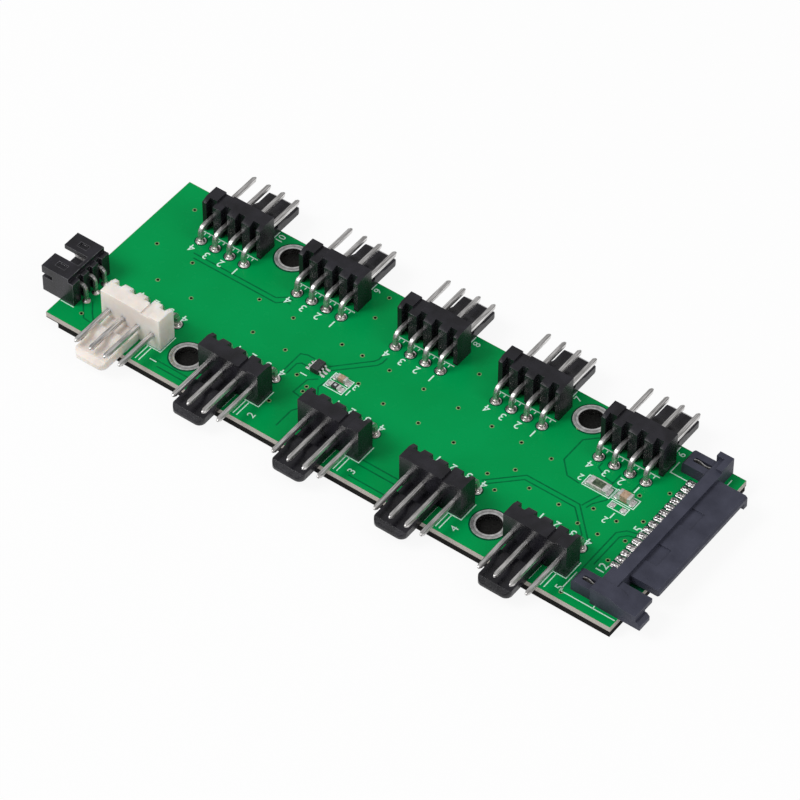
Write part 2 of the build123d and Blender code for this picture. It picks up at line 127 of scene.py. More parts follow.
def smooth_group(name, angle_degrees):
    """A node group that shades a mesh smooth across its gentle edges."""
    group = bpy.data.node_groups.new(name, "GeometryNodeTree")
    group.interface.new_socket("Geometry", in_out="INPUT", socket_type="NodeSocketGeometry")
    group.interface.new_socket("Geometry", in_out="OUTPUT", socket_type="NodeSocketGeometry")
    start = group.nodes.new("NodeGroupInput")
    end = group.nodes.new("NodeGroupOutput")
    angle = group.nodes.new("GeometryNodeInputMeshEdgeAngle")
    gentle = group.nodes.new("FunctionNodeCompare")
    gentle.operation = "LESS_THAN"
    gentle.inputs["B"].default_value = math.radians(angle_degrees)
    edges = group.nodes.new("GeometryNodeSetShadeSmooth")
    edges.domain = "EDGE"
    faces = group.nodes.new("GeometryNodeSetShadeSmooth")
    group.links.new(angle.outputs["Unsigned Angle"], gentle.inputs["A"])
    group.links.new(start.outputs["Geometry"], edges.inputs["Geometry"])
    group.links.new(gentle.outputs["Result"], edges.inputs["Shade Smooth"])
    group.links.new(edges.outputs["Geometry"], faces.inputs["Geometry"])
    group.links.new(faces.outputs["Geometry"], end.inputs["Geometry"])
    return group


gentle_edges = smooth_group("gentle_edges", 37)
sharp_angle = 40
weld_distance = 0.0005


def soften(piece, width_mm, segments=2, edge_finish=None):
    """Rounds the edges a little, so that they catch the light."""
    weld = piece.modifiers.new("weld", "WELD")
    weld.merge_threshold = weld_distance * mm
    round_off = piece.modifiers.new("round_off", "BEVEL")
    round_off.width = width_mm * mm
    round_off.segments = segments
    round_off.limit_method = "ANGLE"
    round_off.angle_limit = math.radians(sharp_angle)
    if edge_finish:
        piece.data.materials.append(edge_finish)
        round_off.material = len(piece.material_slots) - 1
    piece.modifiers.new("shade", "NODES").node_group = gentle_edges
    level = piece.modifiers.new("level", "WEIGHTED_NORMAL")
    level.keep_sharp = True


foam, foam_shader = new_finish("foam_skin", (0.010, 0.010, 0.010), 0.95)
foam_pores = noise(foam, 0.25, 3)
foam_shade = shade_between(foam, foam_pores, (0.006, 0.006, 0.0055), (0.016, 0.0155, 0.015))
colour(foam, foam_shader, foam_shade)
foam_shader.inputs["Specular IOR Level"].default_value = 0.15
bump(foam, foam_shader, foam_pores, 0.04)
dress("foam_pad", foam)

# Circuit board: glass epoxy with green solder mask on its upper side. The routed
# edges show the pale tan laminate, coloured nearly black along their lowest 0.16 mm.
board_low, board_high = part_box("circuit_board")
board_top = board_high.z
mask_margin = 0.03
mask_thickness = 0.03
dark_band_height = 0.16
mask_green = (0.0, 0.278, 0.064)
mask_light = (0.0, 0.308, 0.075)
laminate_dark = (0.370, 0.340, 0.305)
laminate_light = (0.600, 0.560, 0.510)
dark_band_colour = (0.012, 0.012, 0.011)

board, board_shader = new_finish("board_laminate_and_mask", mask_green, 0.32)
board_cloud = noise(board, 9, 2)
mask_shade = shade_between(board, board_cloud, mask_green, mask_light, 0.3, 0.7)
fibres = noise(board, 0.2, 4, (1, 1, 4))
laminate_shade = shade_between(board, fibres, laminate_dark, laminate_light, 0.3, 0.7)


def calculate(finish, operation, first, second):
    """One sum on two values, each a number or another node's value."""
    node = finish.node_tree.nodes.new("ShaderNodeMath")
    node.operation = operation
    for place, value in enumerate((first, second)):
        if isinstance(value, (int, float)):
            node.inputs[place].default_value = value
        else:
            finish.node_tree.links.new(value, node.inputs[place])
    return node.outputs["Value"]


def axes_of(finish, vector):
    """A vector taken apart into X, Y and Z."""
    axes = finish.node_tree.nodes.new("ShaderNodeSeparateXYZ")
    finish.node_tree.links.new(vector, axes.inputs["Vector"])
    return axes.outputs


# Colour sockets of a mix node, by number, because its other types share their names
mix_share, mix_first, mix_second, mix_result = 0, 6, 7, 2


def mixed(finish, share, first, second, blend="MIX"):
    """The first colour where the share is 0, and the second where it is 1."""
    mix = finish.node_tree.nodes.new("ShaderNodeMix")
    mix.data_type = "RGBA"
    mix.blend_type = blend
    for place, value in ((mix_share, share), (mix_first, first), (mix_second, second)):
        if isinstance(value, (float, tuple)):
            mix.inputs[place].default_value = value
        else:
            finish.node_tree.links.new(value, mix.inputs[place])
    return mix.outputs[mix_result]


def beyond_middle(axis, low, high, margin):
    """1 where a point lies nearer than the margin to either edge of the board."""
    middle = (low + high) / 2
    limit = (high - low) / 2 - margin
    offset = calculate(board, "SUBTRACT", axis, middle)
    distance = calculate(board, "ABSOLUTE", offset, 0)
    return calculate(board, "GREATER_THAN", distance, limit)


board_axes = axes_of(board, object_place(board))
end_rim = beyond_middle(board_axes["X"], board_low.x, board_high.x, mask_margin * mm)
long_rim = beyond_middle(board_axes["Y"], board_low.y, board_high.y, mask_margin * mm)
below_mask = calculate(board, "LESS_THAN", board_axes["Z"], board_top - mask_thickness * mm)
bare = calculate(board, "MAXIMUM", calculate(board, "MAXIMUM", end_rim, long_rim), below_mask)
# The lowest 0.16 mm of the board's edges is coloured nearly black.
in_dark_band = calculate(board, "LESS_THAN", board_axes["Z"], board_low.z + dark_band_height * mm)
board_shade = mixed(board, bare, mask_shade, laminate_shade)
colour(board, board_shader, mixed(board, in_dark_band, board_shade, (*dark_band_colour, 1)))
mask_roughness = 0.2
mask_roughness_spread = 0.12
laminate_added_roughness = 0.4
cloudy = calculate(board, "MULTIPLY", noise(board, 1.5, 3), mask_roughness_spread)
rougher = calculate(board, "MULTIPLY", bare, laminate_added_roughness)
board_roughness = calculate(board, "ADD", calculate(board, "ADD", rougher, cloudy), mask_roughness)
board.node_tree.links.new(board_roughness, board_shader.inputs["Roughness"])
board_shader.inputs["Specular IOR Level"].default_value = 0.05
bump(board, board_shader, noise(board, 0.8, 3), 0.004)
dress("circuit_board", board)

# Gaps between the copper areas: the copper under the mask makes it paler, so
# the narrow gaps that part the copper show as thin dark green lines.
gap_width = 0.22
gap_colour = (0.0, 0.165, 0.048)
gap_dark = (0.0, 0.120, 0.038)
gap_lift = 0.004


def new_piece(name, mesh, finish):
    """A piece of this scene that belongs to the hub."""
    piece = bpy.data.objects.new(name, mesh)
    bpy.context.collection.objects.link(piece)
    piece.data.materials.append(finish)
    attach(piece, "root")
    return piece


def built_piece(name, work, finish):
    """A piece from the mesh that was just built, which is then let go."""
    mesh = bpy.data.meshes.new(name)
    work.to_mesh(mesh)
    work.free()
    return new_piece(name, mesh, finish)


def on_board(x, y, lift=0.0):
    """A point on the board, from millimetres."""
    return Vector((x * mm, y * mm, board_top + lift * mm))


sharpest_mitre = 0.4


def stroke(work, points, width, lift):
    """A flat printed line through points on the board, mitred at its corners."""
    left, right = [], []
    for i, (x, y) in enumerate(points):
        here = Vector((x, y))
        before = here - Vector(points[i - 1]) if i > 0 else Vector(points[1]) - here
        after = Vector(points[i + 1]) - here if i < len(points) - 1 else before
        across = (before.normalized() + after.normalized()).normalized().orthogonal()
        mitre = max(sharpest_mitre, across.dot(before.normalized().orthogonal()))
        reach = width / 2 / mitre
        left.append(work.verts.new(on_board(*(here + across * reach), lift)))
        right.append(work.verts.new(on_board(*(here - across * reach), lift)))
    for i in range(len(points) - 1):
        work.faces.new((right[i], right[i + 1], left[i + 1], left[i]))


def printed(name, lines, width, lift, finish):
    """All the lines of one print as one thin piece."""
    work = bmesh.new()
    for points in lines:
        stroke(work, points, width, lift)
    return built_piece(name, work, finish)


copper_gaps = [
    [(-37.1, 4.3), (-22.6, 4.3), (-21.4, 5.3), (-20.4, 5.3)],
    [(-36.5, 3.5), (-22.0, 3.5), (-21.0, 4.5), (-20.2, 4.5)],
    [(-43.9, -11.2), (-43.6, -12.0), (-41.4, -14.6), (-40.2, -14.7)],
    [(-42.4, -11.4), (-41.0, -13.2), (-39.8, -14.4)],
    [(-13.4, -5.9), (-13.4, -2.1), (-12.4, -1.7), (-11.2, -1.7)],
    [(-12.7, -6.1), (-12.7, -3.9), (-12.2, -3.4), (-11.2, -3.4)],
    [(-27.7, -15.7), (-21.6, -15.7), (-20.7, -14.9), (-20.7, -13.6)],
    [(-28.4, -14.8), (-22.2, -14.8), (-21.4, -14.0)],
    [(-8.8, -1.7), (-4.5, 2.8), (-4.2, 3.4), (-4.2, 4.3)],
    [(-8.4, -2.4), (-3.7, 2.4), (-3.4, 3.2), (-3.4, 4.3)],
    [(-8.6, -4.4), (-9.7, -5.4), (-9.9, -8.3), (-8.6, -8.5)],
    [(-7.5, -4.2), (-7.7, -5.6), (-6.8, -6.9)],
    [(-7.4, -10.2), (-8.0, -11.2), (-8.0, -14.6)],
    [(5.1, -12.6), (11.2, -12.6)],
    [(5.1, -13.6), (11.6, -13.6)],
    [(5.2, -15.9), (11.4, -15.9)],
    [(20.0, -6.0), (24.3, -1.7), (32.9, -1.7), (37.1, -5.9), (38.2, -6.3)],
    [(20.4, -6.6), (24.5, -2.5), (32.7, -2.5), (36.2, -5.9), (36.4, -6.6)],
    [(29.4, 10.0), (28.2, 9.6), (26.6, 8.0), (26.6, 3.6), (28.6, 1.5), (30.7, 1.3)],
    [(31.1, 6.2), (31.1, 5.2), (32.9, 4.2), (34.2, 4.0)],
    [(34.3, 5.9), (34.3, 1.6), (33.4, -1.0), (33.2, -1.7)],
    [(35.3, 4.2), (35.3, 1.0), (34.2, -0.6), (33.9, -1.7)],
    [(37.2, 5.9), (37.2, 4.4), (36.4, 3.8)],
    [(42.0, -1.4), (40.6, -1.8), (39.6, -2.9), (39.6, -10.9)],
    [(42.0, -2.2), (41.2, -2.4), (40.4, -3.3), (40.4, -9.2)],
]
gap_finish, gap_shader = new_finish("copper_gap", gap_colour, 0.4)
gap_shader.inputs["Specular IOR Level"].default_value = 0.05
gap_shade = shade_between(gap_finish, noise(gap_finish, 0.6), gap_dark, gap_colour)
colour(gap_finish, gap_shader, gap_shade)
printed("copper_gaps", copper_gaps, gap_width, gap_lift, gap_finish)

# Plated-through holes that join the copper on both sides: drilled 0.4 mm wide,
# with a narrow ring of tinned copper under a thin film of mask.
via_ring_radius = 0.33
via_hole_radius = 0.21
via_lift = 0.012
via_ring_rise = 0.01
via_hole_rim = 0.02
via_hole_dip = 0.004
via_sides = 20
via_rows = {
    13.6: [-10.0],
    11.0: [-42.2],
    9.4: [-9.3, 8.4, 24.9],
    7.0: [41.4],
    4.3: [38.4],
    2.65: [-42.3, -36.0, -24.2, -18.3, -9.9, -6.4, -1.8, 4.0, 9.8, 15.4, 20.3, 25.2],
    0.8: [41.4],
    -1.25: [34.8, 38.5],
    -1.85: [-3.7, 22.5],
    -2.8: [-37.8, -31.9, -21.1, -15.5, 1.2, 7.1, 13.0],
    -3.4: [25.9, 30.7, 41.4],
    -4.6: [19.9, 34.6, 37.8],
    -5.5: [-11.4],
    -6.4: [22.4],
    -6.5: [-9.0],
    -7.5: [-8.9, 41.5],
    -11.6: [-11.5],
    -14.1: [-42.2],
    -15.6: [39.7],
}
via_places = [(x, y) for y, xs in via_rows.items() for x in xs]


def ring(work, x, y, outer, inner, lift, rise, sides):
    """A ring on the board that rises towards its inner edge, which it returns."""
    rim, lip = [], []
    for i in range(sides):
        turn = 2 * math.pi * i / sides
        way = Vector((math.cos(turn), math.sin(turn)))
        rim.append(work.verts.new(on_board(x + way.x * outer, y + way.y * outer, lift)))
        lip.append(work.verts.new(on_board(x + way.x * inner, y + way.y * inner, lift + rise)))
    for i in range(sides):
        j = (i + 1) % sides
        work.faces.new((rim[i], rim[j], lip[j], lip[i]))
    return lip


via_rings = bmesh.new()
via_holes = bmesh.new()
for x, y in via_places:
    ring(via_rings, x, y, via_ring_radius, via_hole_radius, via_lift, via_ring_rise, via_sides)
    rim = via_hole_radius + via_hole_rim
    hole = ring(via_holes, x, y, rim, via_hole_radius, via_lift, -via_hole_dip, via_sides)
    via_holes.faces.new(hole)
via_metal, via_metal_shader = new_finish("via_ring_mask", (0.24, 0.32, 0.14), 0.5)
via_marks = noise(via_metal, 0.3)
via_shade = shade_between(via_metal, via_marks, (0.12, 0.25, 0.09), (0.28, 0.40, 0.19))
colour(via_metal, via_metal_shader, via_shade)
via_metal_shader.inputs["Specular IOR Level"].default_value = 0.2
via_dark, via_dark_shader = new_finish("via_hole_dark", (0.004, 0.006, 0.004), 0.9)
via_dark_shader.inputs["Specular IOR Level"].default_value = 0.05
hole_marks = noise(via_dark, 0.2)
hole_shade = shade_between(via_dark, hole_marks, (0.002, 0.003, 0.002), (0.010, 0.012, 0.007))
colour(via_dark, via_dark_shader, hole_shade)
built_piece("via_rings", via_rings, via_metal)
built_piece("via_holes", via_holes, via_dark)

# Mounting holes: a copper sleeve through the board and a broad ring on top, both
# hot-tinned and bright with soft ripples. Their greys are painted in bands by distance
# from the hole: painted highlights along the ring's inner and outer rims, and painted
# shade in a band between them and in the sleeve. Just outside the ring, the mask lies
# on laminate without copper and looks dark.
hole_x = 25.4
hole_y = 11.75
sleeve_radius = 1.82
ring_radius = 2.58
hole_clearing = 0.24
clearing_sides = 48
# Painted highlights and shade, by share of the way across the ring: bright near both rims, darker
# between them and in the sleeve.
ring_painted_light_bands = [(0.0, 0.55), (0.12, 0.92), (0.34, 0.88), (0.44, 0.34)]
ring_painted_light_bands += [(0.54, 0.62), (0.82, 0.66), (0.93, 1.0)]
plating, plating_shader = new_finish("hot_tinned_copper", (0.70, 0.70, 0.69), 0.28, 1.0)
plating_axes = axes_of(plating, object_place(plating))
offsets = []
for axis, centre in (("X", hole_x), ("Y", hole_y)):
    distance = calculate(plating, "ABSOLUTE", plating_axes[axis], 0)
    offset = calculate(plating, "SUBTRACT", distance, centre * mm)
    offsets.append(calculate(plating, "MULTIPLY", offset, offset))
from_hole = calculate(plating, "SQRT", calculate(plating, "ADD", *offsets), 0)
beyond_sleeve = calculate(plating, "SUBTRACT", from_hole, sleeve_radius * mm)
ring_share = calculate(plating, "DIVIDE", beyond_sleeve, (ring_radius - sleeve_radius) * mm)


def grey_bands(finish, value, stops):
    """Turns a value into greys, by its place between the stops."""
    bands = finish.node_tree.nodes.new("ShaderNodeValToRGB")
    while len(bands.color_ramp.elements) < len(stops):
        bands.color_ramp.elements.new(0.5)
    for stop, (place, grey) in zip(bands.color_ramp.elements, stops):
        stop.position = place
        stop.color = (grey, grey, grey, 1)
    finish.node_tree.links.new(value, bands.inputs["Fac"])
    return bands.outputs["Color"]


def multiplied(finish, first, second):
    """One colour darkened by another."""
    return mixed(finish, 1.0, first, second, "MULTIPLY")


ripples = noise(plating, 0.7, 3)
ripple_shade = shade_between(plating, ripples, (0.62, 0.61, 0.60), (0.98, 0.98, 0.97))
ring_painted_greys = grey_bands(plating, ring_share, ring_painted_light_bands)
colour(plating, plating_shader, multiplied(plating, ring_painted_greys, ripple_shade))
vary_roughness(plating, plating_shader, noise(plating, 0.3, 4), 0.2, 0.4)
bump(plating, plating_shader, ripples, 0.02)
dress("mounting_hole_plating", plating)

# Dark mask: mask on laminate without copper, also laid as painted shade in the plug's mouth and
# between the power feet.
bare_mask_and_painted_shade, bare_mask_and_painted_shade_shader = new_finish("mask_without_copper_and_painted_shade", (0.0, 0.08, 0.035), 0.4)
bare_mask_and_painted_shade_shader.inputs["Specular IOR Level"].default_value = 0.05
bare_cloud = noise(bare_mask_and_painted_shade, 0.5)
bare_mask_and_shade_colour = shade_between(bare_mask_and_painted_shade, bare_cloud, (0.0, 0.055, 0.022), (0.0, 0.110, 0.045))
colour(bare_mask_and_painted_shade, bare_mask_and_painted_shade_shader, bare_mask_and_shade_colour)
clearings = bmesh.new()
for x in (-hole_x, hole_x):
    for y in (-hole_y, hole_y):
        outer = ring_radius + hole_clearing
        ring(clearings, x, y, outer, ring_radius, gap_lift, 0.0, clearing_sides)
built_piece("hole_clearings", clearings, bare_mask_and_painted_shade)

# White print on the mask: outlines of the parts and plain pin numbers, screened
# on in ink that lets a little green through where it is thin.
ink_width = 0.16
ink_lift = 0.01
ink, ink_shader = new_finish("print_ink", (0.55, 0.78, 0.62), 0.6)
ink_cloud = noise(ink, 0.25)
ink_shade = shade_between(ink, ink_cloud, (0.42, 0.76, 0.60), (0.72, 0.92, 0.82), 0.3, 0.6)
colour(ink, ink_shader, ink_shade)

fan_pitch = 16.95
pin_pitch = 2.54
far_row_y = 6.75
near_row_y = -7.9
near_shift = -0.25
far_xs = [fan_pitch * (i - 2) for i in range(5)]
near_xs = [x + near_shift for x in far_xs]
tick_row = 1.75
tick_length = 0.6
tick_offset = 0.4
tick_line_end = 4.85
far_mark = 4.0
far_mark_end = 14.75
box_front = 5.45
box_side = 5.25
box_back = 3.4
box_corner = 2.9
key_marks = (1.35, 3.15, 3.75)
key_length = 2.9

outlines = []
for x in far_xs:
    y = far_row_y + tick_row
    outlines.append([(x - tick_line_end, y), (x + tick_line_end, y)])
    for k in range(4):
        for side in (-tick_offset, tick_offset):
            u = x + (k - 1.5) * pin_pitch + side
            outlines.append([(u, y), (u, y - tick_length)])
    outlines.append([(x + far_mark, far_row_y + box_front), (x + far_mark, far_mark_end)])
for x in near_xs:
    y = near_row_y - box_front
    outlines.append([(x + box_side, y + box_back), (x + box_side, y), (x + box_corner, y)])
    for mark in key_marks:
        outlines.append([(x + mark, y), (x + mark, y - key_length)])
outlines += [
    [(39.4, -11.6), (39.4, -15.45), (48.1, -15.45)],
    [(44.6, -15.45), (44.6, -14.95)],
    [(39.3, 12.4), (39.3, 10.2), (42.5, 10.2)],
    [(46.7, 12.7), (46.7, 13.9)],
    [(-46.1, -13.85), (-43.8, -13.85)],
    [(31.0, 1.45), (35.4, 1.45), (35.4, 3.4), (31.0, 3.4), (31.0, 1.45)],
    [(35.5, 1.75), (39.1, 1.75), (39.1, 3.5), (35.5, 3.5), (35.5, 1.75)],
    [(36.0, 0.22), (38.75, 0.22), (38.75, 1.42), (36.0, 1.42), (36.0, 0.22)],
    [(-7.35, -3.5), (-7.35, -4.9), (-4.35, -4.9), (-4.35, -3.5), (-7.35, -3.5)],
    [(-7.35, -3.4), (-7.35, -2.05), (-4.3, -2.05), (-4.3, -3.4)],
]
printed("printed_outlines", outlines, ink_width, ink_lift, ink)


font_size_to_height = 1.42
ink_spread = 0.012


def number(name, text, x, y, height, turn_degrees):
    """A plain printed number, centred on a place and flat on the board."""
    letters = bpy.data.curves.new(name, "FONT")
    letters.body = text
    letters.size = height * font_size_to_height * mm
    letters.align_x = "CENTER"
    letters.align_y = "CENTER"
    letters.offset = ink_spread * mm
    shaped = bpy.data.objects.new(name + "_shape", letters)
    bpy.context.collection.objects.link(shaped)
    bpy.context.view_layer.update()
    mesh = bpy.data.meshes.new_from_object(shaped)
    bpy.data.objects.remove(shaped)
    turn = Matrix.Rotation(math.radians(turn_degrees), 4, "Z")
    mesh.transform(Matrix.Translation(on_board(x, y, ink_lift)) @ turn)
    mesh.materials.clear()
    mesh.name = name
    return new_piece(name, mesh, ink)


label_height = 1.3
header_label_height = 1.15
small_label_height = 1.1
label_shift = 0.2
far_label_y = far_row_y - 1.8
near_label_y = near_row_y + 1.45
far_number_y = 13.7
far_number_shift = 0.9
near_number_y = near_row_y - 7.2
for i, x in enumerate(far_xs):
    for k in range(4):
        u = x + (k - 1.5) * pin_pitch - label_shift
        number(f"far_pin_number_{i + 1}_{k + 1}", str(4 - k), u, far_label_y, label_height, 180)
    u = x + far_mark + far_number_shift
    number(f"far_header_number_{i + 1}", str(10 - i), u, far_number_y, small_label_height, 90)
for i, x in enumerate(near_xs):
    for k in range(4):
        u = x + (k - 1.5) * pin_pitch + label_shift
        number(f"near_pin_number_{i + 1}_{k + 1}", str(k + 1), u, near_label_y, label_height, 180)
    u = x + box_side + label_shift
    number(f"near_header_number_{i + 1}", str(i + 1), u, near_number_y, header_label_height, 90)
number("supply_mark_12", "12", 41.7, -9.1, label_height, 90)
number("supply_mark_5", "5", 41.7, -0.7, label_height, 90)
number("fuse_mark", "2", 30.2, 2.4, small_label_height, 180)
number("land_mark", "1", 37.5, -0.7, small_label_height, 180)
number("large_capacitor_mark", "2", 37.1, -1.9, small_label_height, 180)
number("chip_mark", "1", -10.7, -4.9, small_label_height, 90)
number("resistor_mark", "1", -3.8, -4.0, small_label_height, 180)
number("small_capacitor_mark", "3", -3.6, -2.6, small_label_height, 180)

# Fan header mouldings: nylon, black but for one ivory header. They come from
# the mould with a satin skin, faint flow marks and slightly rounded edges. On the
# black ones the rounded edges carry a painted highlight, a paler colour.
black, black_shader = new_finish("black_nylon", (0.022, 0.020, 0.028), 0.34)
flow = noise(black, 2.2, 3, (1, 1, 0.4))
black_shader.inputs["Specular IOR Level"].default_value = 0.34
black_shade = shade_between(black, flow, (0.0075, 0.007, 0.0095), (0.0165, 0.0155, 0.021))
colour(black, black_shader, black_shade)
vary_roughness(black, black_shader, noise(black, 0.5, 4), 0.22, 0.36)
bump(black, black_shader, noise(black, 0.22, 3), 0.012)

# Painted highlight: the rounded edges of the black mouldings are coloured paler.
black_edge_highlight, black_edge_highlight_shader = new_finish("black_nylon_edge_highlight", (0.07, 0.068, 0.078), 0.25)
edge_highlight_cloud = noise(black_edge_highlight, 0.6, 4)
edge_highlight_colour = shade_between(black_edge_highlight, edge_highlight_cloud, (0.030, 0.029, 0.034), (0.120, 0.118, 0.130))
colour(black_edge_highlight, black_edge_highlight_shader, edge_highlight_colour)

ivory, ivory_shader = new_finish("ivory_nylon", (0.80, 0.74, 0.69), 0.4)
ivory_flow = noise(ivory, 2.5, 3)
ivory_shade = shade_between(ivory, ivory_flow, (0.76, 0.70, 0.65), (0.86, 0.80, 0.75))
colour(ivory, ivory_shader, ivory_shade)
ivory_shader.inputs["Subsurface Weight"].default_value = 0.8
ivory_shader.inputs["Subsurface Radius"].default_value = (1.0, 0.8, 0.6)
ivory_shader.inputs["Subsurface Scale"].default_value = 1.3 * mm
bump(ivory, ivory_shader, noise(ivory, 0.25, 3), 0.012)

fan_headers = range(1, 11)
ivory_header = 6
fan_edge = 0.07
for i in fan_headers:
    if i == ivory_header:
        soften(dress(f"fan_header_{i}_housing", ivory), fan_edge)
    else:
        soften(dress(f"fan_header_{i}_housing", black), fan_edge, edge_finish=black_edge_highlight)

# Header pins: square brass pins, stamped from strip, tin-plated and bent. Their
# faces carry fine grey marks, and over them a painted reflection by the way each
# face points: the sheared sides square to X painted bright, the rounded edges darker.
pin_tin, pin_tin_shader = new_finish("tinned_wire", (0.70, 0.68, 0.67), 0.3, 0.9)
drawn = noise(pin_tin, 0.15, 3, (1, 0.06, 1))
pin_facing = pin_tin.node_tree.nodes.new("ShaderNodeTexCoord").outputs["Normal"]
facing_along_x = calculate(pin_tin, "ABSOLUTE", axes_of(pin_tin, pin_facing)["X"], 0)
# Painted reflection: greys by how far each face points along X, darkest on the rounded edges.
pin_painted_reflection_bands = [(0.0, 0.86), (0.3, 0.86), (0.5, 0.34), (0.75, 0.4), (0.93, 1.0)]
drawn_shade = shade_between(pin_tin, drawn, (0.44, 0.43, 0.42), (0.90, 0.88, 0.87), 0.4, 0.62)
pin_painted_reflection_greys = grey_bands(pin_tin, facing_along_x, pin_painted_reflection_bands)
colour(pin_tin, pin_tin_shader, multiplied(pin_tin, drawn_shade, pin_painted_reflection_greys))
vary_roughness(pin_tin, pin_tin_shader, noise(pin_tin, 0.3, 3), 0.26, 0.4)
bump(pin_tin, pin_tin_shader, drawn, 0.002)
for i in fan_headers:
    soften(dress(f"fan_header_{i}_pins", pin_tin), 0.1, 3)

# Solder joints of the headers: each pin stands in bright solder that climbs it
# in a hollow curve. It has a low rim at the edge of its round copper land, and a
# dark ring of mask round that.
solder, solder_shader = new_finish("solder", (0.68, 0.62, 0.60), 0.32, 1.0)
solder_flow = noise(solder, 0.5, 3)
solder_shade = shade_between(solder, solder_flow, (0.46, 0.40, 0.38), (0.86, 0.83, 0.81))
colour(solder, solder_shader, solder_shade)
vary_roughness(solder, solder_shader, solder_flow, 0.24, 0.42)
bump(solder, solder_shader, solder_flow, 0.03)
joint_sides = 28
joint_wobble = 0.03
fan_joint = [(0.79, 0.0), (0.78, 0.08), (0.73, 0.10), (0.67, 0.05)]
fan_joint += [(0.60, 0.03), (0.52, 0.08), (0.44, 0.22), (0.37, 0.40)]
joint_clearing = 0.17
joint_overlap = 0.03
small_joint = [(0.62, 0.0), (0.60, 0.04), (0.5, 0.1), (0.4, 0.18), (0.31, 0.28), (0.26, 0.4)]


def solder_joints(name, places, profile, replaced):
    """One piece with a turned cone of solder at each place."""
    work = bmesh.new()
    for x, y in places:
        rings = []
        for radius, height in profile:
            row = []
            for i in range(joint_sides):
                turn = 2 * math.pi * i / joint_sides
                wobble = 1 + joint_wobble * math.sin(3 * turn + x + 2 * y)
                u = x + math.cos(turn) * radius * wobble
                v = y + math.sin(turn) * radius * wobble
                row.append(work.verts.new(on_board(u, v, height)))
            rings.append(row)
        for low, high in zip(rings, rings[1:]):
            for i in range(joint_sides):
                j = (i + 1) % joint_sides
                face = work.faces.new((low[i], low[j], high[j], high[i]))
                face.smooth = True
        work.faces.new(rings[-1])
    piece = built_piece(name, work, solder)
    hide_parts(replaced)


pin_steps = [(k - 1.5) * pin_pitch for k in range(4)]
fan_places = [(x + u, far_row_y) for x in far_xs for u in pin_steps]
fan_places += [(x + u, near_row_y) for x in near_xs for u in pin_steps]
solder_joints("fan_solder_joints", fan_places, fan_joint, "fan_header_solder")
joint_rings = bmesh.new()
joint_radius = fan_joint[0][0]
for x, y in fan_places:
    outer, inner = joint_radius + joint_clearing, joint_radius - joint_overlap
    ring(joint_rings, x, y, outer, inner, gap_lift, 0.0, joint_sides)
built_piece("joint_clearings", joint_rings, bare_mask_and_painted_shade)

# Small header: a three-pin shrouded header, moulded in the same black nylon,
# with its pins and their solder joints behind it.
small_feet_x = -43.2
small_centre_y = -9.75
small_pitch = 2.0
soften(dress("small_header_housing", black), 0.06, edge_finish=black_edge_highlight)
soften(dress("small_header_pins", pin_tin), 0.04)
small_places = [(small_feet_x, small_centre_y + (k - 1) * small_pitch) for k in range(3)]
solder_joints("small_solder_joints", small_places, small_joint, "small_header_solder")

# Power plug: one moulding of dark blue-grey glass-filled plastic, matt, with a
# fine grain. Its rounded edges carry a painted highlight, a paler colour.
plug, plug_shader = new_finish("glass_filled_plastic", (0.045, 0.047, 0.075), 0.5)
plug_flow = noise(plug, 3.0, 4)
plug_shader.inputs["Specular IOR Level"].default_value = 0.3
plug_shade = shade_between(plug, plug_flow, (0.030, 0.0315, 0.050), (0.047, 0.049, 0.074))
colour(plug, plug_shader, plug_shade)
vary_roughness(plug, plug_shader, noise(plug, 0.6, 4), 0.42, 0.6)
bump(plug, plug_shader, noise(plug, 0.16, 3), 0.012)
# Painted highlight: the plug's rounded edges are coloured paler.
plug_edge_highlight, plug_edge_highlight_shader = new_finish("glass_filled_plastic_edge_highlight", (0.06, 0.062, 0.09), 0.34)
plug_highlight_cloud = noise(plug_edge_highlight, 0.8, 4)
plug_highlight_colour = shade_between(plug_edge_highlight, plug_highlight_cloud, (0.040, 0.041, 0.060), (0.130, 0.134, 0.170))
colour(plug_edge_highlight, plug_edge_highlight_shader, plug_highlight_colour)
soften(dress("power_plug_housing", plug), 0.08, edge_finish=plug_edge_highlight)

# Power contacts: flat strips, gold-plated on the blade and tinned at the feet,
# where each foot lies in ridges of solder on its copper land. No copper lies
# between the lands, so the mask is dark there, and a strip of dark mask under the
# feet also stands for the painted shade in the gaps between them.
contact_metal, contact_shader = new_finish("gold_and_tin", (0.80, 0.62, 0.30), 0.28, 1.0)
gold_start_x = 45.0
contact_axes = axes_of(contact_metal, object_place(contact_metal))
gold_from = calculate(contact_metal, "GREATER_THAN", contact_axes["X"], gold_start_x * mm)
wear = noise(contact_metal, 0.4, 3)
gold_shade = shade_between(contact_metal, wear, (0.70, 0.50, 0.20), (0.92, 0.74, 0.40))
tin_shade = shade_between(contact_metal, wear, (0.42, 0.40, 0.39), (0.82, 0.80, 0.79))
colour(contact_metal, contact_shader, mixed(contact_metal, gold_from, tin_shade, gold_shade))
bump(contact_metal, contact_shader, wear, 0.01)
dress("power_plug_contacts", contact_metal)

contact_pitch = 1.27
contact_count = 15
bead_swell = 0.08
bead_lean = 0.3
contact_low, contact_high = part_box("power_plug_contacts")
contact_middle = (contact_low.y + contact_high.y) / 2 / mm
foot_x = contact_low.x / mm
